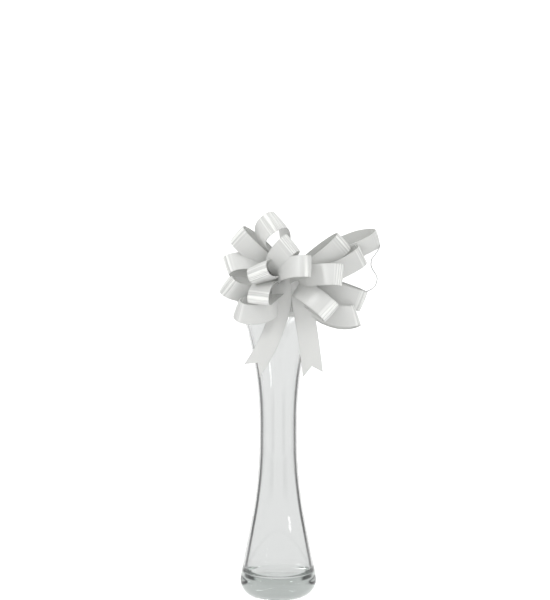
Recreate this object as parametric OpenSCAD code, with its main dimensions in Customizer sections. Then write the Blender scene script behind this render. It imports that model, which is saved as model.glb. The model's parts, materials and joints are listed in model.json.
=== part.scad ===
// Flared bud vase of clear glass, with a white satin pull bow tied round its neck.
// +Z is up and the origin is the centre of the foot's flat underside.
// The bow stands on the -Y side. Its neck band runs round the glass just under the mouth.

/* [Vase] */
// Height from the foot to the lip
vase_h = 241; // [230:1:250]
// Diameter of the foot
foot_d = 60; // [56:0.5:64]
// Outer diameter of the waist
waist_d = 30.2; // [29:0.2:32]
// Outer diameter of the mouth
mouth_d = 70; // [66:1:74]
// Thickness of the glass wall
wall = 3; // [2.6:0.1:3.4]
// Thickness of the solid glass under the hollow
floor_h = 17; // [14:0.5:20]
// Radius of the rounded edge of the foot
foot_edge_r = 13; // [11:0.5:14]
// Radius of the rounded inner corner above the floor
inner_edge_r = 6; // [4:0.5:8]
// Height of the lower end of the straight waist
waist_low = 125; // [120:1:128]
// Height of the upper end of the straight waist
waist_top = 137; // [134:1:140]
// Radius of the long curve between the waist and the foot
lower_r = 345; // [320:5:370]

/* [Ribbon] */
// Width of the ribbon
ribbon_w = 16; // [14:0.5:16]
// Thickness of the ribbon
ribbon_t = 0.8; // [0.6:0.1:0.9]
// How wide the ribbon is where it is gathered at the knot
gathered_w = 9; // [7:0.5:10]
// Depth of the V cut in the ends of the tails
notch = 6; // [4:0.5:8]
// Diameter of the pull string
string_d = 1; // [0.8:0.1:1.2]

/* [Bow] */
// Lower edge of the neck band
band_low = 222; // [220:1:224]
// Width of the neck band
band_w = 12; // [10:0.5:12]
// Clearance between the neck band and the glass
band_gap = 0.3; // [0.3:0.05:0.5]
// Radius of the bound knot
knot_r = 5.5; // [5:0.25:6]

/* [Hidden] */
$fn = 96;
long_arc_fn = 720;

GLASS = [0.86, 0.93, 0.95, 0.45];
SATIN = [0.96, 0.96, 0.94];
SHADE = [0.9, 0.9, 0.87];

foot_r = foot_d / 2;
waist_r = waist_d / 2;
lip_r = wall / 2;

// Centres of the arcs of the outer profile
foot_c = [foot_r - foot_edge_r, foot_edge_r];
lower_c = [waist_r + lower_r, waist_low];
lip_c = [mouth_d / 2 - lip_r, vase_h - lip_r];

// The neck's arc starts upright at the waist and passes through the lip
neck_rise = lip_c.y - waist_top;
neck_flare = lip_c.x - lip_r - waist_r;
neck_r = (neck_flare ^ 2 + neck_rise ^ 2 - lip_r ^ 2) / (2 * (neck_flare + lip_r));
neck_c = [waist_r + neck_r, waist_top];
neck_sweep = asin(neck_rise / (neck_r + lip_r));

// The straight cone runs along the line that touches the foot's arc and the lower arc
arcs_apart = lower_c - foot_c;
cone_a = atan2(arcs_apart.y, arcs_apart.x) - acos((foot_edge_r + lower_r) / norm(arcs_apart));
cone_n = [cos(cone_a), sin(cone_a)];
cone_low = foot_c + foot_edge_r * cone_n;
cone_top = lower_c - lower_r * cone_n;

// Centre of the rounded corner inside, which touches the floor and the inner cone
inner_z = floor_h + inner_edge_r;
inner_x = cone_low.x - (wall + inner_edge_r + (inner_z - cone_low.y) * cone_n.y) / cone_n.x;

// Where the knot leaves the neck band and where all loops meet
knot_foot = [8, -34.4, 227];
knot = [8, -46, 249];

// Each loop: name, the point that its middle line bends towards, its tip, the direction
// across the ribbon there, and how far the loop stands open. Points are from the knot.
LOOPS = [
    ["loop_top", [-15, -2, 38], [-13, -24, 46], [0.54, -0.35, -0.77], 20],
    ["loop_upper_left", [-18, -6, 20], [-39, -10, 37], [0.68, -0.38, 0.63], 13],
    ["loop_left", [-26, -8, 18], [-47, -12, 13], [0.33, -0.56, -0.76], 10],
    ["loop_lower_left", [-32, 2, -6], [-47, -14, -1], [0.68, -0.25, 0.69], 13],
    ["loop_bottom_left", [-17, -16, -26], [-39, -16, -18], [-0.3, -0.35, 0.88], 17],
    ["loop_front_low", [-18, -22, -2], [-23, -38, -11], [1, 0, 0.05], 14],
    ["loop_front_left", [-19, -24, 12], [-23, -42, 8], [0.92, -0.1, 0.38], 13],
    ["loop_front_top", [-15, -18, 12], [2, -34, 31], [0.66, -0.35, -0.66], 13],
    ["loop_front_centre", [-12, -27, 12], [15, -41, 14], [0.05, -0.2, -0.98], 12],
    ["loop_upper_right", [16, -6, 12], [41, -10, 32], [0.62, 0.3, -0.7], 13],
    ["loop_right", [24, -6, 7], [55, -8, 22], [-0.2, -0.45, 0.88], 14],
    ["loop_front_right", [16, -22, 9], [39, -30, 7], [0.5, -0.3, -0.8], 13],
    ["loop_lower_right", [26, 0, -2], [56, -2, -14], [-0.15, 0.1, -1], 13],
    ["loop_bottom_right", [30, -10, -32], [51, -10, -24], [0.1, -0.2, -0.95], 14],
    ["loop_front_bottom", [12, -20, -6], [31, -30, -21], [-0.45, -0.3, -0.8], 12],
    ["loop_far_right", [36, 4, 26], [67, 0, 34], [0.2, -0.6, 0.77], 12]
];

// Each tail: name, start, bend point, end and direction across the ribbon
TAILS = [
    ["tail_left", [-7, -15, 10], [0, -20, -24], [-28, -6, -66], [0.85, -0.4, -0.3]],
    ["tail_right", [5, -15, 9], [13, -19, -26], [18, -4, -69], [0.9, 0.25, 0.2]]
];

// Route of the pull string from the far right loop to the lower right one
STRING = [
    [76.5, -42.2, 278], [76.2, -44, 275.8], [74.9, -45.4, 273.2], [72.8, -46, 270.2],
    [70.5, -46, 267], [70, -46, 264.5], [70, -46, 262], [71, -46, 259.5],
    [72.5, -46, 257], [74, -46, 254.5], [74.5, -46.5, 252], [74, -47, 249.5],
    [73, -47.5, 247], [71, -48, 245], [68.5, -48, 243.5], [66, -48, 242.5]
];

loop_steps = 28;
tail_steps = 16;
string_sides = 8;
// Half the gap between a loop's two legs where they leave the knot
leg_gap = 1.2;
// How far from the knot's centre the ribbons start
leg_start = 4;
// How far along its middle line a loop, and a tail, has opened to the ribbon's full width
loop_flare = 0.4;
tail_flare = 0.11;
// The outline's widest place is at two thirds of its length, where this makes it 1
loop_shape = 1.5 * sqrt(3);

function unit(v) = v / norm(v);
function bend(a, b, c, s) = (1 - s) ^ 2 * a + 2 * s * (1 - s) * b + s ^ 2 * c;
function bend_dir(a, b, c, s) = unit((1 - s) * (b - a) + s * (c - b));
function square_to(v, along) = unit(v - (v * along) * along);
function ease(s) = let (q = min(1, max(0, s))) q * q * (3 - 2 * q);
function ribbon_half(opened) = (gathered_w + (ribbon_w - gathered_w) * ease(opened)) / 2;

// How far along its middle line a loop is at q, from 1 at one leg through 0 at the tip to -1
function loop_s(q) = 1 - q ^ 2;

function loop_along(item, q) =
    bend_dir(leg_start * unit(item[1]), item[1], item[2], loop_s(q));

function loop_point(item, q) =
    let (along = loop_along(item, q), across = square_to(item[3], along), s = loop_s(q))
    let (open = item[4] / 2 * loop_shape * s * q + leg_gap * q ^ 3)
    knot + bend(leg_start * unit(item[1]), item[1], item[2], s) + open * cross(across, along);

// Rows of [point, normal] pairs, one row across the ribbon for each step along it
function loop_rows(item) = [
    for (i = [0:loop_steps])
    let (q = 1 - 2 * i / loop_steps, across = square_to(item[3], loop_along(item, q)))
    let (run = unit(loop_point(item, q - 0.01) - loop_point(item, q + 0.01)))
    let (normal = unit(cross(across, run)), half = ribbon_half(loop_s(q) / loop_flare))
    [for (v = [-1, 0, 1]) [loop_point(item, q) + v * half * across, normal]]
];

function tail_rows(item) =
    let (start = item[1], middle = item[2], end = item[3])
    let (long = norm(middle - start) + norm(end - middle))
    [
        for (i = [0:tail_steps])
        [
            for (v = [-1, 0, 1])
            let (s = i / tail_steps * (1 - (1 - abs(v)) * notch / long))
            let (along = bend_dir(start, middle, end, s), across = square_to(item[4], along))
            [
                knot + bend(start, middle, end, s) + v * ribbon_half(s / tail_flare) * across,
                cross(across, along)
            ]
        ]
    ];

// Closed thin solid from rows of [point, normal] pairs
module thin_sheet(rows, thick) {
    n = len(rows);
    w = len(rows[0]);
    front = [for (row = rows) for (p = row) p[0] + p[1] * thick / 2];
    back = [for (row = rows) for (p = row) p[0] - p[1] * thick / 2];
    side = n * w;
    inner = [for (i = [0:n - 2]) for (j = [0:w - 2]) i * w + j];
    rim = concat(
        [for (j = [0:w - 2]) [j, j + 1]],
        [for (i = [0:n - 2]) [i * w + w - 1, (i + 1) * w + w - 1]],
        [for (j = [w - 1:-1:1]) [(n - 1) * w + j, (n - 1) * w + j - 1]],
        [for (i = [n - 1:-1:1]) [i * w, (i - 1) * w]]
    );
    polyhedron(
        points = concat(front, back),
        faces = concat(
            [for (k = inner) [k, k + 1, k + w + 1]],
            [for (k = inner) [k, k + w + 1, k + w]],
            [for (k = inner) [side + k, side + k + w + 1, side + k + 1]],
            [for (k = inner) [side + k, side + k + w, side + k + w + 1]],
            [for (e = rim) [e[0], side + e[1], e[1]]],
            [for (e = rim) [e[0], side + e[0], side + e[1]]]
        )
    );
}

// Round tube along a route, with a ring square to the route at each point
module tube(route, d, sides) {
    n = len(route);
    rings = [
        for (i = [0:n - 1])
        let (along = unit(route[min(i + 1, n - 1)] - route[max(i - 1, 0)]))
        let (a = square_to([0, 1, 0], along), b = cross(along, a))
        [for (j = [0:sides - 1]) route[i] + d / 2 * (cos(360 * j / sides) * a + sin(360 * j / sides) * b)]
    ];
    polyhedron(
        points = [for (ring = rings) for (p = ring) p],
        faces = concat(
            [[for (j = [0:sides - 1]) j]],
            [
                for (i = [0:n - 2]) for (j = [0:sides - 1]) for (half = [0, 1])
                let (k = i * sides, next = (j + 1) % sides)
                half == 0 ? [k + j, k + sides + j, k + sides + next] : [k + j, k + sides + next, k + next]
            ],
            [[for (j = [sides - 1:-1:0]) (n - 1) * sides + j]]
        )
    );
}

// Glass profile above the floor, moved inwards by inset: 0 is outside, wall is the hollow
module profile_above(inset) {
    difference() {
        translate([0, waist_top]) square([lip_c.x + lip_r, vase_h - waist_top + 1]);
        translate(neck_c) circle(neck_r + inset, $fn = long_arc_fn);
    }
    translate([0, waist_low - 0.01]) square([waist_r - inset, waist_top - waist_low + 0.02]);
    difference() {
        translate([0, cone_top.y - inset * cone_n.y])
            square([cone_top.x, waist_low - cone_top.y + inset * cone_n.y]);
        translate(lower_c) circle(lower_r + inset, $fn = long_arc_fn);
    }
}

module outer_profile() {
    profile_above(0);
    polygon([
        [0, 0], [foot_c.x, 0], foot_c, cone_low, cone_top, [0, cone_top.y]
    ]);
    translate(foot_c) circle(foot_edge_r);
}

module hollow_profile() {
    corner = [inner_x, inner_z];
    profile_above(wall);
    polygon([
        [0, floor_h], [inner_x, floor_h], corner, corner + inner_edge_r * cone_n,
        cone_top - wall * cone_n, [0, cone_top.y - wall * cone_n.y]
    ]);
    translate(corner) circle(inner_edge_r);
}

// Everything on the axis side of the ray from the neck arc's centre through the lip
module below_lip() {
    reach = neck_r + 3 * wall;
    polygon([
        [0, 0], [foot_r + 1, 0], [foot_r + 1, waist_low], neck_c,
        neck_c + reach * [-cos(neck_sweep), sin(neck_sweep)], [0, vase_h]
    ]);
}

module glass_vase() {
    color(GLASS)
    rotate_extrude($fn = 180) {
        intersection() {
            difference() {
                outer_profile();
                hollow_profile();
            }
            below_lip();
        }
        translate(lip_c) circle(lip_r, $fn = 64);
    }
}

module neck_band() {
    color(SATIN)
    rotate_extrude($fn = 180)
    intersection() {
        translate([waist_r, band_low]) square([mouth_d / 2, band_w]);
        difference() {
            translate(neck_c) circle(neck_r - band_gap, $fn = long_arc_fn);
            translate(neck_c) circle(neck_r - band_gap - ribbon_t, $fn = long_arc_fn);
        }
    }
}

// The gathered ribbon, bound tight, as a short post from the neck band up to the loops
module bow_knot() {
    lean = atan2(knot_foot.y - knot.y, knot.z - knot_foot.z);
    long = norm(knot - knot_foot) + knot_r;
    round_r = 2;
    color(SHADE)
    translate(knot_foot)
    rotate([lean, 0, 0])
    rotate_extrude() {
        square([knot_r - round_r, long]);
        translate([0, round_r]) square([knot_r, long - 2 * round_r]);
        translate([knot_r - round_r, round_r]) circle(round_r);
        translate([knot_r - round_r, long - round_r]) circle(round_r);
    }
}

module bow_loop(item) {
    color(SATIN) thin_sheet(loop_rows(item), ribbon_t);
}

module tail(item) {
    color(SATIN) thin_sheet(tail_rows(item), ribbon_t);
}

module pull_string() {
    color(SATIN) tube(STRING, string_d, string_sides);
}

glass_vase();
neck_band();
bow_knot();
for (item = LOOPS) bow_loop(item);
for (item = TAILS) tail(item);
pull_string();
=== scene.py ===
"""Looks for a flared bud vase of clear glass with a white satin pull bow tied round its neck.

The vase is turned from its own profile, and every loop, tail and band of the bow is a woven
ribbon with a thickness, selvedges, gathers at the knot and creases across its folds.
The object's lengths are millimetres, like the CAD model's; mm() turns them into metres.
The camera, the floor and the lamps are placed in metres.
"""

import json
import math
import random

import bpy
from mathutils import Vector, noise
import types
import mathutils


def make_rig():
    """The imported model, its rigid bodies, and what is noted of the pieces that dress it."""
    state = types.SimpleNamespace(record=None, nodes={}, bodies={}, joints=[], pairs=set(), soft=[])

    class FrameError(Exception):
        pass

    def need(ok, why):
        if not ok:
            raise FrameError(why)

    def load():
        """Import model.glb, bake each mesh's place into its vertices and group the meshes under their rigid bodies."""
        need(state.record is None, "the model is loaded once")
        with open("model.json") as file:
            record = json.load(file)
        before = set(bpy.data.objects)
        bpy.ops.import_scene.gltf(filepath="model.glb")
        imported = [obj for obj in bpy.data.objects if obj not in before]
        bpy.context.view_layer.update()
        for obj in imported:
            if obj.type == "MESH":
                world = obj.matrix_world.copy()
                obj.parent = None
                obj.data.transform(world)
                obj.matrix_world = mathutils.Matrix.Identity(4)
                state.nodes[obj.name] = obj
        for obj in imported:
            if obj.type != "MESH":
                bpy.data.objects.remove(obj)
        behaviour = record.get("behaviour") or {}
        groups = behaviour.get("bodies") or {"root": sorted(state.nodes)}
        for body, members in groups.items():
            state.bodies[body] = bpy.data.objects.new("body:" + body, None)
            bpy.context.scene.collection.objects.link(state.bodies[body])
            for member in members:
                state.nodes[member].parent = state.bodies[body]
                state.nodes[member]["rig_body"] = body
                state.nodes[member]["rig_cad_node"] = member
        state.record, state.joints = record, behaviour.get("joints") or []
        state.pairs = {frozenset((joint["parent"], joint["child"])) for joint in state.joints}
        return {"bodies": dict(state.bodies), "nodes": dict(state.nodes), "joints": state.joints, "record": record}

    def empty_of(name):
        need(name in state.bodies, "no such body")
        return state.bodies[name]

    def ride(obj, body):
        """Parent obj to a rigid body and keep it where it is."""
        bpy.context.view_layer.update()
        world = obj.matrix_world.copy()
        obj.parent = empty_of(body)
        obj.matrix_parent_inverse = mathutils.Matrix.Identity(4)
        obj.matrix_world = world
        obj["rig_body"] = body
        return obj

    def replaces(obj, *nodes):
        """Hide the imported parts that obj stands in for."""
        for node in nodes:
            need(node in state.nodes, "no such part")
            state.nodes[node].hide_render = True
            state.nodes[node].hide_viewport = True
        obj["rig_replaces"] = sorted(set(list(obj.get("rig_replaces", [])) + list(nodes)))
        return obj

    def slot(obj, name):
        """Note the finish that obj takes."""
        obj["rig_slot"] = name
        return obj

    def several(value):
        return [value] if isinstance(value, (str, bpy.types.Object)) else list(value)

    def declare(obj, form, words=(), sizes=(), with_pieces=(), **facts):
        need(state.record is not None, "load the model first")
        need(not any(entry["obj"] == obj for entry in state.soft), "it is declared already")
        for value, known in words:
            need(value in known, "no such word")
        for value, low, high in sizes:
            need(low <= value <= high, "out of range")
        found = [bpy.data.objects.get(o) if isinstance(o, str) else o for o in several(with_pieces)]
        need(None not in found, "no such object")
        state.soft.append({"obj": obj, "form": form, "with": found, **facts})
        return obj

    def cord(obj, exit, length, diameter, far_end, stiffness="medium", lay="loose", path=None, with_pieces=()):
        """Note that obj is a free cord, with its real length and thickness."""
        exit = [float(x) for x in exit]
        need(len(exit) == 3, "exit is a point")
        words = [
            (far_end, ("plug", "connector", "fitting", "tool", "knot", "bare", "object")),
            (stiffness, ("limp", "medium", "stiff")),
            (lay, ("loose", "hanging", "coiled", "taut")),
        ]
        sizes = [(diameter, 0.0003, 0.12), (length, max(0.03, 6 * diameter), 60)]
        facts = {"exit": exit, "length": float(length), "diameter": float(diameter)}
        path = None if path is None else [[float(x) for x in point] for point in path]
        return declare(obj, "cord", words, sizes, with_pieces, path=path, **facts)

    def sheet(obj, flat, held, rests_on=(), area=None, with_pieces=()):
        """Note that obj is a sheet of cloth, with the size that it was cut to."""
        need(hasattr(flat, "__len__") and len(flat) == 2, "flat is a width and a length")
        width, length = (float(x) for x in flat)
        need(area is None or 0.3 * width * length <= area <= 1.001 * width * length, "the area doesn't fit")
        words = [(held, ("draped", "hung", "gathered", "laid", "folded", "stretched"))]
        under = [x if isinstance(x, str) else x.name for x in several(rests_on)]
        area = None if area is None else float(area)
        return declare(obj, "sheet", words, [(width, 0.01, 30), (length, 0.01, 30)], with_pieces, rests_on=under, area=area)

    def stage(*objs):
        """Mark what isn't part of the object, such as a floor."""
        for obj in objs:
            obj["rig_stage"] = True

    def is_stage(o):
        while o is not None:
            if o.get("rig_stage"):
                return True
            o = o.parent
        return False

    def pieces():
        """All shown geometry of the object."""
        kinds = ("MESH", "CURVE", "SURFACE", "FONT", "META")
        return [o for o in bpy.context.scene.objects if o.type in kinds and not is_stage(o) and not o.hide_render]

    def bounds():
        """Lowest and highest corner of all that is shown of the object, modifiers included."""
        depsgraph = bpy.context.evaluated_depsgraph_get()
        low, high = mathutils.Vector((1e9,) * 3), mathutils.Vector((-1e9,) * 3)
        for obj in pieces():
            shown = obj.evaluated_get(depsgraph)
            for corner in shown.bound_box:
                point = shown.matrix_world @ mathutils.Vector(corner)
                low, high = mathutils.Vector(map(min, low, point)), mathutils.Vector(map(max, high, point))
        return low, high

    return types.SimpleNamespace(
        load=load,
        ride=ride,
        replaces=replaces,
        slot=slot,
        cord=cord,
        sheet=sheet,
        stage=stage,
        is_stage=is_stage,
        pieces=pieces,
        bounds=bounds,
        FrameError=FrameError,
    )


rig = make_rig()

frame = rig.load()
CAD_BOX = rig.bounds()

# ---------------------------------------------------------------- design values, in mm

# The ribbon: flat, gathered at the knot, and thicker along its two woven edges
RIBBON_W = 16.0
GATHERED_W = 9.0
RIBBON_T = 0.3
SELVEDGE_T = 0.42
SELVEDGE_AT = 0.95

# The share of a loop's or a tail's run over which its gathers open out
LOOP_FLARE = 0.4
TAIL_FLARE = 0.11

# How deep a tail's cut end is notched, and where a loop's legs start and stand apart
NOTCH = 6.0
LEG_START = 4.0
LEG_GAP = 1.2

# Where the UV of a ribbon without a fold starts, past the painted highlight streaks that a fold has
TAIL_START = 50.0

# Makes a loop exactly its own opening wide where it is widest
LOOP_SHAPE = 1.5 * math.sqrt(3)

# The relief on the ribbon: pleats in its gathers, a cupped width, creases near the fold, drape
PLEAT_H = 1.1
PLEAT_RADIANS = 9.0
CUP_H = 0.35
CREASES = 8
CREASE_H = 0.4
CREASE_W = 0.8
CREASE_PITCH = 2.7
DRAPE_H = 0.5
DRAPE_LONG = 14

# Rows along a loop and a tail, and how strongly a loop's rows crowd towards its fold
LOOP_ROWS = 240
TAIL_ROWS = 70
ROW_CROWD = 1.6

# The tails' random draws start here, the loops' at 0
TAIL_SEED = 50

# The knot: the gathered ribbon from the band to the loops
KNOT_FOOT = Vector((8, -34.4, 227))
KNOT = Vector((8, -46, 249))
KNOT_R = 5.5

# Each loop: bend point and tip of its middle line from the knot, the direction across the
# ribbon, and how far it stands open
LOOPS = {
    "loop_top": ((-15, -2, 38), (-13, -24, 46), (0.54, -0.35, -0.77), 20),
    "loop_upper_left": ((-18, -6, 20), (-39, -10, 37), (0.68, -0.38, 0.63), 13),
    "loop_left": ((-26, -8, 18), (-47, -12, 13), (0.33, -0.56, -0.76), 10),
    "loop_lower_left": ((-32, 2, -6), (-47, -14, -1), (0.68, -0.25, 0.69), 13),
    "loop_bottom_left": ((-17, -16, -26), (-39, -16, -18), (-0.3, -0.35, 0.88), 17),
    "loop_front_low": ((-18, -22, -2), (-23, -38, -11), (1, 0, 0.05), 14),
    "loop_front_left": ((-19, -24, 12), (-23, -42, 8), (0.92, -0.1, 0.38), 13),
    "loop_front_top": ((-15, -18, 12), (2, -34, 31), (0.66, -0.35, -0.66), 13),
    "loop_front_centre": ((-12, -27, 12), (15, -41, 14), (0.05, -0.2, -0.98), 12),
    "loop_upper_right": ((16, -6, 12), (41, -10, 32), (0.62, 0.3, -0.7), 13),
    "loop_right": ((24, -6, 7), (55, -8, 22), (-0.2, -0.45, 0.88), 14),
    "loop_front_right": ((16, -22, 9), (39, -30, 7), (0.5, -0.3, -0.8), 13),
    "loop_lower_right": ((26, 0, -2), (56, -2, -14), (-0.15, 0.1, -1), 13),
    "loop_bottom_right": ((30, -10, -32), (51, -10, -24), (0.1, -0.2, -0.95), 14),
    "loop_front_bottom": ((12, -20, -6), (31, -30, -21), (-0.45, -0.3, -0.8), 12),
    "loop_far_right": ((36, 4, 26), (67, 0, 34), (0.2, -0.6, 0.77), 12),
}

# Each tail: start, bend point and end from the knot, and the direction across the ribbon
TAILS = {
    "tail_left": ((-7, -15, 10), (0, -20, -24), (-28, -6, -66), (0.85, -0.4, -0.3)),
    "tail_right": ((5, -15, 9), (13, -19, -26), (18, -4, -69), (0.9, 0.25, 0.2)),
}

# The pull string's route, the same as the CAD solid's
STRING = [
    (76.5, -42.2, 278), (76.2, -44, 275.8), (74.9, -45.4, 273.2), (72.8, -46, 270.2),
    (70.5, -46, 267), (70, -46, 264.5), (70, -46, 262), (71, -46, 259.5),
    (72.5, -46, 257), (74, -46, 254.5), (74.5, -46.5, 252), (74, -47, 249.5),
    (73, -47.5, 247), (71, -48, 245), (68.5, -48, 243.5), (66, -48, 242.5),
]
STRING_D = 1.0
STRING_LAY = 2.6
STRING_STEPS = 10

# The binding on the knot, in turns of the same cord
BIND_AT = 0.42
BIND_TURNS = 3.5
BIND_PITCH = 1.05
BIND_STEPS = 40

# The vase's profile: heights, radii and long arcs
VASE_H = 241.0
FOOT_R = 30.0
WAIST_R = 15.1
MOUTH_R = 35.0
WALL = 3.0
FLOOR_H = 17.0
FOOT_EDGE_R = 13.0
INNER_EDGE_R = 6.0
WAIST_LOW = 125.0
WAIST_TOP = 137.0
LOWER_R = 345.0

GLASS_SIDES = 192

# The neck band: where it sits, its clearance from the glass, and its wrinkles
BAND_LOW = 222.0
BAND_W = 12.0
BAND_GAP = 0.3
BAND_ROWS = 360
BAND_EDGE = 0.05
WRINKLE_H = 0.75
WRINKLE_RADIANS = 7.5


def mm(v):
    """Millimetres to metres, for a number or a point."""
    return v * 0.001 if isinstance(v, (int, float)) else tuple(c * 0.001 for c in v)


# ---------------------------------------------------------------- camera, floor and light

# Metres, degrees for the tilt, and millimetres for the lens and its sensor
CAMERA_AWAY = 1.3
CAMERA_HEIGHT = 0.3018
CAMERA_LEFT = 0.0026
CAMERA_TILT = 3.0
FOCAL_MM = 99.7
SENSOR_MM = 36

# Each lamp: place, the point that it faces, its two sides, and its power in watts
LAMPS = {
    "key": ((-0.9, -1.1, 1.2), (0, 0, 0.24), (0.12, 0.5), 8),
    "fill": ((1.1, -0.9, 0.7), (0, 0, 0.24), (0.12, 0.9), 3),
    "top": ((0.1, -0.4, 1.4), (0, 0, 0.24), (0.9, 0.1), 3),
    "low": ((-0.2, -1.4, 0.1), (0, 0, 0.24), (0.9, 0.06), 1.5),
    "back": ((0, 0.9, 1.8), (0, 1.6, 0.4), (2.0, 1.0), 30),
}

# The surroundings: how bright from below to above, where the dim panels stand sideways and
# in height, how much they dim, and the tone that the camera sees behind the floor
WORLD_TONES = [(0, 0.82), (0.4, 0.82), (1, 0.9)]
PANELS_ASIDE = [(0.42, 0), (0.5, 1), (0.74, 1), (0.84, 0)]
PANELS_HEIGHT = [(0.385, 0), (0.4, 1), (0.51, 1), (0.55, 0)]
PANELS_DIM = 0.85
SEEN_TONE = 0.9

# The floor's profile: how far it runs to each side, forward and back, the sweep and its top
FLOOR_HALF = 1.0
FLOOR_FRONT = -2.5
FLOOR_BACK = 1.6
SWEEP_R = 0.8
SWEEP_STEP = 6
FLOOR_TOP = 3.0
FLOOR_DROP = 0.0002


def make_camera():
    cam = bpy.data.objects.new("camera", bpy.data.cameras.new("camera"))
    cam.data.lens = FOCAL_MM
    cam.data.sensor_width = SENSOR_MM
    cam.location = (-CAMERA_LEFT, -CAMERA_AWAY, CAMERA_HEIGHT)
    cam.rotation_euler = (math.radians(90 - CAMERA_TILT), 0, 0)
    bpy.context.collection.objects.link(cam)
    bpy.context.scene.camera = cam


def area_light(name, place, aim, size, watts):
    data = bpy.data.lights.new(name, "AREA")
    data.shape = "RECTANGLE"
    data.size, data.size_y = size
    data.energy = watts
    lamp = bpy.data.objects.new(name, data)
    lamp.location = place
    lamp.rotation_euler = (Vector(aim) - Vector(place)).to_track_quat("-Z", "Y").to_euler()
    bpy.context.collection.objects.link(lamp)
    return lamp


def nodes_of(name):
    """A new node material and a function that adds a node with its settings and inputs."""
    material = bpy.data.materials.new(name)
    material.use_nodes = True
    tree = material.node_tree
    tree.nodes.clear()

    def add(kind, inputs=None, **settings):
        node = tree.nodes.new(kind)
        for key, value in settings.items():
            setattr(node, key, value)
        for key, value in (inputs or {}).items():
            if isinstance(value, bpy.types.NodeSocket):
                tree.links.new(value, node.inputs[key])
            else:
                node.inputs[key].default_value = value
        return node

    return material, add


def speckled_grey(add, texture, low, high):
    """A grey that follows a texture between two tones."""
    tone = add("ShaderNodeMapRange", {"Value": texture.outputs["Fac"], "To Min": low,
                                      "To Max": high})
    grey = add("ShaderNodeCombineColor", dict.fromkeys(("Red", "Green", "Blue"), tone.outputs[0]))
    return grey.outputs[0]


def mesh_object(name, points, faces):
    """A smooth shaded object from points in metres."""
    mesh = bpy.data.meshes.new(name)
    mesh.from_pydata(points, [], faces)
    mesh.shade_smooth()
    piece = bpy.data.objects.new(name, mesh)
    bpy.context.collection.objects.link(piece)
    return piece


def make_stage():
    """A pale floor that sweeps up behind the object into a plain backdrop."""
    profile = [(FLOOR_FRONT, 0.0)]
    profile += [
        (FLOOR_BACK + SWEEP_R * math.sin(a), SWEEP_R * (1 - math.cos(a)))
        for a in [math.radians(d) for d in range(0, 91, SWEEP_STEP)]
    ]
    profile.append((FLOOR_BACK + SWEEP_R, FLOOR_TOP))
    verts = [(x, y, z - FLOOR_DROP) for y, z in profile for x in (-FLOOR_HALF, FLOOR_HALF)]
    faces = [(2 * i, 2 * i + 1, 2 * i + 3, 2 * i + 2) for i in range(len(profile) - 1)]
    stage = mesh_object("stage", verts, faces)
    material, add = nodes_of("pale_floor")
    grain = add("ShaderNodeTexNoise", {"Scale": 60.0, "Detail": 3.0})
    shader = add("ShaderNodeBsdfPrincipled", {
        "Base Color": speckled_grey(add, grain, 0.86, 0.89), "Roughness": 0.8,
    })
    add("ShaderNodeOutputMaterial", {"Surface": shader.outputs[0]})
    stage.data.materials.append(material)
    stage.visible_transmission = False
    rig.stage(stage)


def make_world():
    """Pale surroundings with dim panels low down at either side, so the glass shows its edges."""
    world = bpy.data.worlds.new("studio")
    bpy.context.scene.world = world
    world.use_nodes = True
    tree = world.node_tree

    def math_node(operation, *values):
        node = tree.nodes.new("ShaderNodeMath")
        node.operation = operation
        for i, value in enumerate(values):
            if isinstance(value, bpy.types.NodeSocket):
                tree.links.new(value, node.inputs[i])
            else:
                node.inputs[i].default_value = value
        return node.outputs[0]

    def ramp(value, tones):
        node = tree.nodes.new("ShaderNodeValToRGB")
        steps = node.color_ramp.elements
        steps.remove(steps[1])
        steps[0].position, tone = tones[0]
        steps[0].color = (tone, tone, tone, 1)
        for place, tone in tones[1:]:
            steps.new(place).color = (tone, tone, tone, 1)
        tree.links.new(value, node.inputs[0])
        return node.outputs[0]

    place = tree.nodes.new("ShaderNodeTexCoord")
    split = tree.nodes.new("ShaderNodeSeparateXYZ")
    tree.links.new(place.outputs["Generated"], split.inputs[0])
    aside = math_node("ABSOLUTE", split.outputs["X"])
    height = math_node("MULTIPLY_ADD", split.outputs["Z"], 0.5, 0.5)
    panels = ramp(aside, PANELS_ASIDE)
    band = ramp(height, PANELS_HEIGHT)
    dim = math_node("MULTIPLY_ADD", math_node("MULTIPLY", panels, band), -PANELS_DIM, 1.0)
    around = tree.nodes["Background"]
    tree.links.new(ramp(height, WORLD_TONES), around.inputs["Color"])
    tree.links.new(dim, around.inputs["Strength"])
    seen = tree.nodes.new("ShaderNodeLightPath")
    pale = tree.nodes.new("ShaderNodeBackground")
    pale.inputs["Color"].default_value = (SEEN_TONE, SEEN_TONE, SEEN_TONE, 1)
    either = tree.nodes.new("ShaderNodeMixShader")
    tree.links.new(seen.outputs["Is Camera Ray"], either.inputs[0])
    tree.links.new(around.outputs[0], either.inputs[1])
    tree.links.new(pale.outputs[0], either.inputs[2])
    tree.links.new(either.outputs[0], tree.nodes["World Output"].inputs[0])
    bpy.context.scene.view_settings.view_transform = "Standard"


def make_lights():
    """Narrow lamps for crisp streaks on the satin; two aren't seen in reflections or the glass."""
    lamps = {name: area_light(name, *settings) for name, settings in LAMPS.items()}
    for name in ("low", "back"):
        lamps[name].visible_glossy = False
        lamps[name].visible_transmission = False


# ---------------------------------------------------------------- materials


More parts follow.
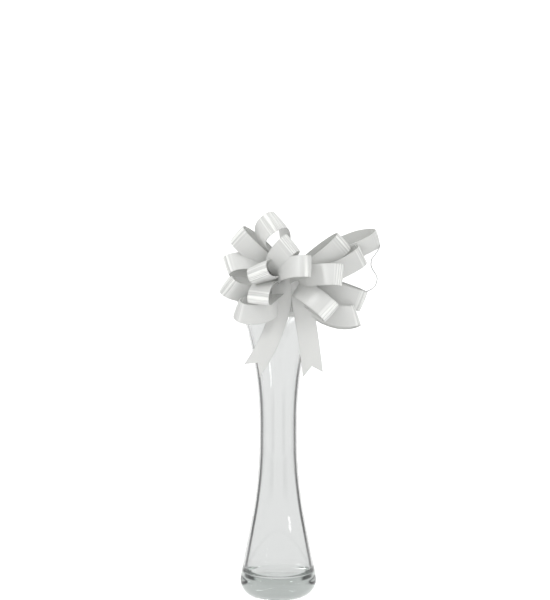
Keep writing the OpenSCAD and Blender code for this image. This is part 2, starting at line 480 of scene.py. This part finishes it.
def glass_material():
    """Clear, faintly green glass with the ripple of blown glass and hardly any haze."""
    material, add = nodes_of("clear_glass")
    place = add("ShaderNodeTexCoord")
    swirl = add("ShaderNodeTexNoise", {"Vector": place.outputs["Object"], "Scale": 55.0,
                                       "Detail": 2.0, "Distortion": 0.6})
    bump = add("ShaderNodeBump", {"Height": swirl.outputs["Fac"], "Strength": 0.08,
                                  "Distance": 0.0006})
    haze = add("ShaderNodeTexNoise", {"Vector": place.outputs["Object"], "Scale": 220.0,
                                      "Detail": 4.0})
    rough = add("ShaderNodeMapRange", {"Value": haze.outputs["Fac"], "From Min": 0.45,
                                       "From Max": 0.8, "To Min": 0.0, "To Max": 0.03})
    shader = add("ShaderNodeBsdfPrincipled", {
        "Base Color": (0.985, 0.99, 0.988, 1),
        "Roughness": rough.outputs[0],
        "IOR": 1.5,
        "Transmission Weight": 1.0,
        "Normal": bump.outputs[0],
    })
    tint = add("ShaderNodeVolumeAbsorption", {"Color": (0.6, 0.64, 0.62, 1), "Density": 28.0})
    add("ShaderNodeOutputMaterial", {"Surface": shader.outputs[0], "Volume": tint.outputs[0]})
    return material


def cord_material():
    """Soft twisted white cord, rough with fine fibres; its grey colour is painted shade."""
    material, add = nodes_of("white_cord")
    place = add("ShaderNodeTexCoord")
    fibres = add("ShaderNodeTexNoise", {"Vector": place.outputs["Object"], "Scale": 2600.0,
                                        "Detail": 3.0})
    # Painted shade: the white cord's colour is a mid grey so the thin cord reads darker; the fibres vary its tone at
    # random
    colour = speckled_grey(add, fibres, 0.38, 0.52)
    bump = add("ShaderNodeBump", {"Height": fibres.outputs["Fac"], "Strength": 0.4,
                                  "Distance": 0.0001})
    shader = add("ShaderNodeBsdfPrincipled", {
        "Base Color": colour, "Roughness": 0.62, "Sheen Weight": 0.3,
        "Normal": bump.outputs[0],
    })
    add("ShaderNodeOutputMaterial", {"Surface": shader.outputs[0]})
    return material


# Each satin: its colour, and how much of the light it lets through
SATIN_FLAT = ((0.75, 0.755, 0.74), 0.34)
# The gathered knot is the same satin in a darker copy, which is painted shade; it also lets less light through
SATIN_GATHERED_SHADED = ((0.67, 0.675, 0.66), 0.1)

# Where across the ribbon its woven edge starts to darken and is darkest, from the edge inward
SELVEDGE_START = 0.7
SELVEDGE_END = 0.45

# How far from a fold the painted highlight streaks across it fade out, and how densely they lie
PAINTED_STREAKS_OUT = 18
PAINTED_STREAKS_FULL = 10
PAINTED_STREAKS_PER_M = 430.0


def satin_material(name, colour, glow):
    """White satin: fine weft ribs, long warp floats that catch the light, slubs, darker woven
    edges, and painted highlights: streaks of light painted into its colour across the folds."""
    material, add = nodes_of(name)
    uv = add("ShaderNodeUVMap", uv_map="ribbon")
    split = add("ShaderNodeSeparateXYZ", {"Vector": uv.outputs[0]})
    ribs = add("ShaderNodeTexWave", {"Vector": uv.outputs[0], "Scale": 900.0, "Distortion": 0.4},
               bands_direction="Y")
    floats = add("ShaderNodeTexWave", {"Vector": uv.outputs[0], "Scale": 1400.0,
                                       "Distortion": 0.8}, bands_direction="X")
    weave = add("ShaderNodeMath", {0: ribs.outputs["Fac"], 1: floats.outputs["Fac"]},
                operation="ADD")
    slub_at = add("ShaderNodeVectorMath", {0: uv.outputs[0], 1: (260.0, 2600.0, 1.0)},
                  operation="MULTIPLY")
    slubs = add("ShaderNodeTexNoise", {"Vector": slub_at.outputs[0], "Scale": 1.0, "Detail": 2.0})
    tone = add("ShaderNodeMapRange", {"Value": slubs.outputs["Fac"], "To Min": 0.96,
                                      "To Max": 1.02})
    edge_at = add("ShaderNodeMath", {0: split.outputs["X"], 1: mm(RIBBON_W / 2)},
                  operation="SUBTRACT")
    edge = add("ShaderNodeMath", {0: edge_at.outputs[0]}, operation="ABSOLUTE")
    selvedge = add("ShaderNodeMapRange", {"Value": edge.outputs[0],
                                          "From Min": mm(RIBBON_W / 2 - SELVEDGE_START),
                                          "From Max": mm(RIBBON_W / 2 - SELVEDGE_END),
                                          "To Min": 1.0, "To Max": 0.93})
    place = add("ShaderNodeTexCoord")
    # Painted highlights: pale streaks across the ribbon near each fold, painted into the base colour, with a little
    # painted shade between them
    far = add("ShaderNodeMath", {0: split.outputs["Y"]}, operation="ABSOLUTE")
    painted_streak_reach = add("ShaderNodeMapRange", {"Value": far.outputs[0],
                                           "From Min": mm(PAINTED_STREAKS_OUT),
                                           "From Max": mm(PAINTED_STREAKS_FULL),
                                           "To Min": 0.0, "To Max": 1.0})
    drift = add("ShaderNodeVectorMath", {0: place.outputs["Object"], 1: (14.0, 14.0, 14.0)},
                operation="MULTIPLY")
    run = add("ShaderNodeMath", {0: split.outputs["Y"], 1: PAINTED_STREAKS_PER_M}, operation="MULTIPLY")
    along = add("ShaderNodeCombineXYZ", {"Y": run.outputs[0]})
    painted_streak_at = add("ShaderNodeVectorMath", {0: along.outputs[0], 1: drift.outputs[0]})
    painted_streak_noise = add("ShaderNodeTexNoise", {"Vector": painted_streak_at.outputs[0], "Scale": 1.0, "Detail": 1.5})
    painted_streak = add("ShaderNodeMapRange", {"Value": painted_streak_noise.outputs["Fac"], "From Min": 0.46,
                                        "From Max": 0.6, "To Min": -0.06, "To Max": 0.28},
                 interpolation_type="SMOOTHSTEP")
    # The painted highlight brightens the satin's colour near the fold and fades out away from it
    painted_highlight = add("ShaderNodeMath", {0: painted_streak.outputs[0], 1: painted_streak_reach.outputs[0], 2: 1.0},
                operation="MULTIPLY_ADD")
    cloth = add("ShaderNodeMath", {0: tone.outputs[0], 1: selvedge.outputs[0]},
                operation="MULTIPLY")
    shade = add("ShaderNodeMath", {0: cloth.outputs[0], 1: painted_highlight.outputs[0]},
                operation="MULTIPLY")
    tint = add("ShaderNodeVectorMath", {0: colour, "Scale": shade.outputs[0]}, operation="SCALE")
    bump = add("ShaderNodeBump", {"Height": weave.outputs[0], "Strength": 0.12,
                                  "Distance": 0.00005})
    thread = add("ShaderNodeTangent", direction_type="UV_MAP", uv_map="ribbon")
    shader = add("ShaderNodeBsdfPrincipled", {
        "Base Color": tint.outputs[0],
        "Roughness": 0.42,
        "IOR": 1.65,
        "Specular IOR Level": 1.0,
        "Anisotropic": 1.0,
        "Tangent": thread.outputs[0],
        "Normal": bump.outputs[0],
    })
    through = add("ShaderNodeBsdfTranslucent", {"Color": tint.outputs[0]})
    mixed = add("ShaderNodeMixShader", {0: glow, 1: shader.outputs[0], 2: through.outputs[0]})
    add("ShaderNodeOutputMaterial", {"Surface": mixed.outputs[0]})
    return material


# ---------------------------------------------------------------- glass


def arc(centre, radius, start, end, steps):
    """Points on an arc, angles in degrees from the +X axis."""
    turns = [math.radians(start + (end - start) * i / steps) for i in range(steps + 1)]
    return [(centre[0] + radius * math.cos(a), centre[1] + radius * math.sin(a)) for a in turns]


def neck_arc():
    """Radius of the neck's outer arc, and the height from the waist's top to the lip's centre."""
    lip = WALL / 2
    rise = VASE_H - lip - WAIST_TOP
    flare = MOUTH_R - 2 * lip - WAIST_R
    return (flare**2 + rise**2 - lip**2) / (2 * (flare + lip)), rise


def glass_radius(z):
    """Outer radius of the neck at a height, and the glass surface's outward normal there."""
    neck_r, _ = neck_arc()
    turn = math.asin((z - WAIST_TOP) / neck_r)
    return WAIST_R + neck_r * (1 - math.cos(turn)), (math.cos(turn), -math.sin(turn))


def vase_profile():
    """Radius and height of the glass, from the middle of the underside out, up, over the lip
    and down the hollow to the middle of the floor."""
    lip = WALL / 2
    neck_r, rise = neck_arc()
    neck = (WAIST_R + neck_r, WAIST_TOP)
    sweep = math.degrees(math.asin(rise / (neck_r + lip)))
    lower = (WAIST_R + LOWER_R, WAIST_LOW)
    foot = (FOOT_R - FOOT_EDGE_R, FOOT_EDGE_R)
    apart = math.hypot(lower[0] - foot[0], lower[1] - foot[1])
    cone = math.degrees(
        math.atan2(lower[1] - foot[1], lower[0] - foot[0])
        - math.acos((FOOT_EDGE_R + LOWER_R) / apart)
    )
    up, out = math.sin(math.radians(cone)), math.cos(math.radians(cone))
    low = (foot[0] + FOOT_EDGE_R * out, foot[1] + FOOT_EDGE_R * up)
    inner_z = FLOOR_H + INNER_EDGE_R
    inner = (low[0] - (WALL + INNER_EDGE_R + (inner_z - low[1]) * up) / out, inner_z)
    points = [(foot[0] * i / 6, 0.0) for i in range(6)]
    points += arc(foot, FOOT_EDGE_R, -90, cone, 16)
    points += arc(lower, LOWER_R, 180 + cone, 180, 30)
    points += arc(neck, neck_r, 180, 180 - sweep, 44)
    lip_at = (MOUTH_R - lip, VASE_H - lip)
    points += arc(lip_at, lip, -sweep, 180 - sweep, 14)[1:-1]
    points += arc(neck, neck_r + WALL, 180 - sweep, 180, 44)
    points += arc(lower, LOWER_R + WALL, 180, 180 + cone, 30)
    points += arc(inner, INNER_EDGE_R, cone, -90, 14)
    points += [(inner[0] * (1 - i / 8), FLOOR_H) for i in range(1, 8)]
    return points


def ringed_faces(rings, around):
    """Faces of a closed shape: a first point, then rings of points, then a last point."""
    last = 1 + rings * around
    faces = []
    for j in range(around):
        k = (j + 1) % around
        faces.append((0, 1 + k, 1 + j))
        for i in range(rings - 1):
            low = 1 + i * around
            faces.append((low + j, low + k, low + around + k, low + around + j))
        faces.append((last - around + j, last - around + k, last))
    return faces


def make_glass():
    """The glass, its profile turned round its axis."""
    rings = vase_profile()[1:]
    points = [(0, 0, 0)]
    for r, z in rings:
        for j in range(GLASS_SIDES):
            a = 2 * math.pi * j / GLASS_SIDES
            points.append(mm((r * math.cos(a), r * math.sin(a), z)))
    points.append(mm((0, 0, FLOOR_H)))
    glass = mesh_object("glass", points, ringed_faces(len(rings), GLASS_SIDES))
    glass.data.materials.append(glass_material())
    glass.visible_shadow = False
    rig.replaces(glass, "glass_vase")
    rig.slot(glass, "clear_glass")
    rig.ride(glass, "vase")


# ---------------------------------------------------------------- ribbon


def ease(s):
    """A smooth step from 0 to 1."""
    q = min(1.0, max(0.0, s))
    return q * q * (3 - 2 * q)


def bend(a, b, c, s):
    """A point on the curve that leaves a towards b and arrives at c from b."""
    return (1 - s) ** 2 * a + 2 * s * (1 - s) * b + s**2 * c


def square_to(v, along):
    """The unit vector nearest to v that is square to along."""
    return (v - v.dot(along) * along).normalized()


class Ribbon:
    """A ribbon's middle line and width, as functions of t from 0 to 1 along it."""

    def __init__(self, bend_at, tip, across, seed):
        self.middle = Vector(bend_at)
        self.tip = Vector(tip)
        self.across = Vector(across)
        self.start = LEG_START * self.middle.normalized()
        self.rng = random.Random(seed)
        middle_crease = (CREASES - 1) / 2
        self.creases = [
            (CREASE_PITCH * (i - middle_crease) + self.rng.uniform(-0.8, 0.8),
             self.rng.uniform(0.4, 1.0))
            for i in range(CREASES)
        ]
        self.phase = self.rng.uniform(0, 6.28)

    def run_dir(self, s):
        """The middle line's direction."""
        return ((1 - s) * (self.middle - self.start) + s * (self.tip - self.middle)).normalized()

    def frame_at(self, s):
        """The middle line's point, and the directions across the ribbon and out of it."""
        along = self.run_dir(s)
        across = square_to(self.across, along)
        return bend(self.start, self.middle, self.tip, s), across, across.cross(along)


class Loop(Ribbon):
    """Out along the middle line on one side and back on the other, open between them."""

    def __init__(self, bend_at, tip, across, opening, seed):
        super().__init__(bend_at, tip, across, seed)
        self.opening = opening

    def gather(self, t):
        q = 1 - 2 * t
        return 1 - ease((1 - q * q) / LOOP_FLARE)

    def point(self, t):
        q = 1 - 2 * t
        s = 1 - q * q
        centre, across, out = self.frame_at(s)
        open_by = self.opening / 2 * LOOP_SHAPE * s * q + LEG_GAP * q**3
        return KNOT + centre + open_by * out, across


class Tail(Ribbon):
    """One run of ribbon that ends in a swallow-tailed cut."""

    def __init__(self, start, bend_at, tip, across, seed):
        super().__init__(bend_at, tip, across, seed)
        self.start = Vector(start)

    def gather(self, t):
        return 1 - ease(t / TAIL_FLARE)

    def point(self, t):
        centre, across, _ = self.frame_at(t)
        return KNOT + centre, across


def row_place(i, steps, folded):
    """How far along a ribbon a row lies; a loop's rows crowd towards its fold."""
    u = 2 * i / steps - 1
    return 0.5 + 0.5 * math.copysign(abs(u) ** ROW_CROWD, u) if folded else i / steps


def ribbon_mesh(name, ribbon, steps, notch=0.0):
    """A closed thin ribbon: rows of points across it, both faces and the rim between them.
    Only a tail has a notch; without one the ribbon is a loop, with creases round its fold."""
    columns = [-1, -0.97, -0.93, -0.8, -0.6, -0.4, -0.2, 0, 0.2, 0.4, 0.6, 0.8, 0.93, 0.97, 1]
    step = 0.5 / steps
    middle = [ribbon.point(i / steps)[0] for i in range(steps + 1)]
    long = sum((b - a).length for a, b in zip(middle, middle[1:]))
    front, back, uvs = [], [], []
    for i in range(steps + 1):
        for v in columns:
            t = row_place(i, steps, notch == 0) * (1 - notch / long * (1 - abs(v)))
            here, across = ribbon.point(t)
            run = ribbon.point(min(1, t + step))[0] - ribbon.point(max(0, t - step))[0]
            normal = across.cross(run.normalized()).normalized()
            gather = ribbon.gather(t)
            half = (GATHERED_W * gather + RIBBON_W * (1 - gather)) / 2
            pleat = PLEAT_H * gather * math.cos(v * PLEAT_RADIANS + ribbon.phase)
            cup = CUP_H * (1 - gather) * (1 - v * v)
            crease = 0.0
            if notch == 0:
                for place, depth in ribbon.creases:
                    gap = (t - 0.5) * long - place
                    crease += CREASE_H * depth * math.exp(-((gap / CREASE_W) ** 2))
            drape = DRAPE_H * noise.noise(Vector((t * long / DRAPE_LONG, v * 0.6, ribbon.phase)))
            point = here + v * half * across + (pleat + cup + crease + drape) * normal
            thick = SELVEDGE_T if abs(v) > SELVEDGE_AT else RIBBON_T
            front.append(mm(point + normal * thick / 2))
            back.append(mm(point - normal * thick / 2))
            past_fold = t * long + TAIL_START if notch else (t - 0.5) * long
            uvs.append((mm((v + 1) * RIBBON_W / 2), mm(past_fold)))
    return closed_sheet(name, front, back, uvs, len(columns)), long


def closed_sheet(name, front, back, uvs, wide, ring=False):
    """A thin closed mesh from rows of points on its two faces; a ring's last row joins its first."""
    side = len(front)
    tall = side // wide
    rows = tall if ring else tall - 1
    faces = []
    for i in range(rows):
        for j in range(wide - 1):
            here, there = i * wide + j, (i + 1) % tall * wide + j
            faces.append((here, here + 1, there + 1, there))
            faces.append((side + here, side + there, side + there + 1, side + here + 1))
    right, left = [i * wide + wide - 1 for i in range(tall)], [i * wide for i in range(tall)]
    if ring:
        rim = list(zip(right, right[1:] + right[:1])) + list(zip(left[1:] + left[:1], left))
    else:
        rim = [(j, j + 1) for j in range(wide - 1)] + list(zip(right, right[1:]))
        rim += [(left[-1] + j, left[-1] + j - 1) for j in range(wide - 1, 0, -1)]
        rim += list(zip(left[:0:-1], left[-2::-1]))
    faces += [(a, side + a, side + b, b) for a, b in rim]
    return uv_mesh(name, front + back, faces, uvs + uvs)


def uv_mesh(name, points, faces, uvs):
    """An object whose UV runs in metres across and along the ribbon."""
    piece = mesh_object(name, points, faces)
    layer = piece.data.uv_layers.new(name="ribbon")
    for loop in piece.data.loops:
        layer.data[loop.index].uv = uvs[loop.vertex_index]
    return piece


# ---------------------------------------------------------------- neck band, knot and string


def make_band(satin):
    """The ribbon tied round the neck, pulled tight into lengthwise wrinkles."""
    columns = [-1, -0.95] + [i / 8 - 0.875 for i in range(15)] + [0.95, 1]
    front, back, uvs = [], [], []
    for i in range(BAND_ROWS):
        a = 2 * math.pi * i / BAND_ROWS
        drift = noise.noise(Vector((math.cos(a), math.sin(a), 0.3)) * 1.6)
        for v in columns:
            z = BAND_LOW + BAND_W / 2 * (1 + 0.97 * v) + 0.35 * noise.noise(
                Vector((math.cos(a), math.sin(a), 2.0)) * 2.5) * (1 - 0.4 * abs(v))
            z = min(BAND_LOW + BAND_W - BAND_EDGE, max(BAND_LOW + BAND_EDGE, z))
            radius, (out, up) = glass_radius(z)
            fold = 0.5 + 0.5 * math.cos(v * WRINKLE_RADIANS + 3.2 * drift)
            fold *= 0.75 + 0.5 * noise.noise(Vector((2 * math.cos(a), 2 * math.sin(a), v * 3)))
            for shell, rise in ((back, BAND_GAP), (front, BAND_GAP + RIBBON_T)):
                lift = rise + WRINKLE_H * fold
                r = radius + lift * out
                shell.append(mm((r * math.cos(a), r * math.sin(a), z + lift * up)))
            uvs.append((mm((v + 1) * RIBBON_W / 2), mm(TAIL_START + a * radius)))
    piece = closed_sheet("neck_band_ribbon", front, back, uvs, len(columns), ring=True)
    middle = glass_radius(BAND_LOW + BAND_W / 2)[0] + 1
    finish_ribbon(piece, "neck_band", 2 * math.pi * middle, satin, "stretched", ["glass"])


def knot_radius(t, a):
    """The bundle's radius at t from 0 to 1 along it and angle a: pleated, pinched by its binding."""
    pinch = 1 - 0.3 * math.exp(-(((t - BIND_AT) / 0.14) ** 2))
    drift = 0.9 * math.sin(5 * t + a)
    pleat = 1 - 0.09 * (1 + math.cos(13 * a + drift)) - 0.03 * (1 + math.cos(29 * a - drift))
    ends = min(1, math.sqrt(max(0, 1 - max(0, (t - 0.82) / 0.18) ** 2)))
    ends *= min(1, math.sqrt(max(0, 1 - max(0, (0.08 - t) / 0.08) ** 2)))
    spread = 1 + 0.15 * math.exp(-((t / 0.2) ** 2))
    return KNOT_R * pinch * pleat * spread * ends


def make_knot(satin, cord):
    """The ribbon gathered into a bundle between the band and the loops, and the binding on it."""
    axis = (KNOT - KNOT_FOOT).normalized()
    side = square_to(Vector((1, 0, 0)), axis)
    up = axis.cross(side)
    long = (KNOT - KNOT_FOOT).length + KNOT_R
    rows, around = 56, 156
    points, uvs = [mm(KNOT_FOOT)], [(0, 0)]
    for i in range(1, rows):
        t = i / rows
        for j in range(around):
            a = 2 * math.pi * j / around
            spot = KNOT_FOOT + t * long * axis
            points.append(mm(spot + knot_radius(t, a) * (math.cos(a) * side + math.sin(a) * up)))
            uvs.append((mm(a * KNOT_R), mm(TAIL_START + t * long)))
    points.append(mm(KNOT_FOOT + long * axis))
    uvs.append((0, mm(long)))
    knot = uv_mesh("knot_gathers", points, ringed_faces(rows - 1, around), uvs)
    knot.data.materials.append(satin)
    wraps = []
    for i in range(int(BIND_TURNS * BIND_STEPS) + 1):
        a = 2 * math.pi * i / BIND_STEPS
        t = BIND_AT + (i / BIND_STEPS - BIND_TURNS / 2) * BIND_PITCH / long
        radius = 0.8 * knot_radius(t, math.pi / 13) + 1.0
        spot = KNOT_FOOT + t * long * axis
        wraps.append(spot + radius * (math.cos(a) * side + math.sin(a) * up))
    binding = tube_mesh("knot_binding", wraps, STRING_D / 2)
    binding.data.materials.append(cord)
    for piece, slot in ((knot, "gathered_satin"), (binding, "white_cord")):
        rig.replaces(piece, "bow_knot")
        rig.slot(piece, slot)
        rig.ride(piece, "bow")


def tube_mesh(name, path, radius, sides=12):
    """A two-ply twisted cord along a path: its section has two lobes that turn with its length."""
    side = square_to(Vector((0, 1, 0)), (path[1] - path[0]).normalized())
    points, uvs, run = [], [], 0.0
    for i, spot in enumerate(path):
        along = (path[min(i + 1, len(path) - 1)] - path[max(i - 1, 0)]).normalized()
        side = square_to(side, along)
        other = along.cross(side)
        run += (spot - path[max(i - 1, 0)]).length
        for j in range(sides):
            a = 2 * math.pi * j / sides
            lobe = radius * (0.8 + 0.22 * abs(math.cos(a - math.pi * run / STRING_LAY)))
            points.append(mm(spot + lobe * (math.cos(a) * side + math.sin(a) * other)))
            uvs.append((mm(a * radius), mm(run)))
    faces = [tuple(range(sides - 1, -1, -1))]
    for i in range(len(path) - 1):
        low = i * sides
        for j in range(sides):
            k = (j + 1) % sides
            faces.append((low + j, low + k, low + sides + k, low + sides + j))
    faces.append(tuple((len(path) - 1) * sides + j for j in range(sides)))
    return uv_mesh(name, points, faces, uvs)


def smooth_path(route, steps):
    """A smooth curve through a route's points."""
    points = [Vector(p) for p in route]
    ends = [2 * points[0] - points[1]] + points + [2 * points[-1] - points[-2]]
    path = []
    for a, b, c, d in zip(ends, ends[1:], ends[2:], ends[3:]):
        for i in range(steps):
            t = i / steps
            path.append(0.5 * (2 * b + (c - a) * t + (2 * a - 5 * b + 4 * c - d) * t**2
                               + (3 * b - a - 3 * c + d) * t**3))
    return path + [points[-1]]


def make_string(cord):
    """The pull string, slack between two loops."""
    path = smooth_path(STRING, STRING_STEPS)
    long = sum((b - a).length for a, b in zip(path, path[1:]))
    string = tube_mesh("pull_string_cord", path, STRING_D / 2)
    string.data.materials.append(cord)
    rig.replaces(string, "pull_string")
    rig.slot(string, "white_cord")
    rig.ride(string, "bow")
    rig.cord(string, exit=mm(path[0]), length=mm(long), diameter=mm(STRING_D), far_end="object",
            stiffness="limp", lay="hanging", path=[mm(p) for p in path])


def make_bow(satin):
    """The sixteen loops and the two tails."""
    for seed, (node, (bend_at, tip, across, opening)) in enumerate(LOOPS.items()):
        loop = Loop(bend_at, tip, across, opening, seed)
        piece, long = ribbon_mesh(node + "_ribbon", loop, LOOP_ROWS)
        finish_ribbon(piece, node, long, satin, "folded")
    for seed, (node, (start, bend_at, tip, across)) in enumerate(TAILS.items()):
        tail = Tail(start, bend_at, tip, across, TAIL_SEED + seed)
        piece, long = ribbon_mesh(node + "_ribbon", tail, TAIL_ROWS, NOTCH)
        finish_ribbon(piece, node, long, satin, "hung")


def finish_ribbon(piece, node, long, satin, held, rests_on=("bow_knot",)):
    """Gives a ribbon its material, CAD node, body and flat size."""
    piece.data.materials.append(satin)
    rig.replaces(piece, node)
    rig.slot(piece, "white_satin")
    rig.ride(piece, "bow")
    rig.sheet(piece, flat=(mm(RIBBON_W), mm(long)), held=held, rests_on=list(rests_on))


make_camera()
CORD = cord_material()
make_string(CORD)
make_stage()
make_world()
make_lights()
make_glass()
SATIN = satin_material("white_satin", *SATIN_FLAT)
make_bow(SATIN)
make_band(SATIN)
# The knot takes a darker copy of the ribbon's satin as painted shade
make_knot(satin_material("gathered_satin", *SATIN_GATHERED_SHADED), CORD)

with open("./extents.json", "w") as out:
    json.dump({"cad": [list(c) for c in CAD_BOX], "visual": [list(c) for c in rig.bounds()]}, out)
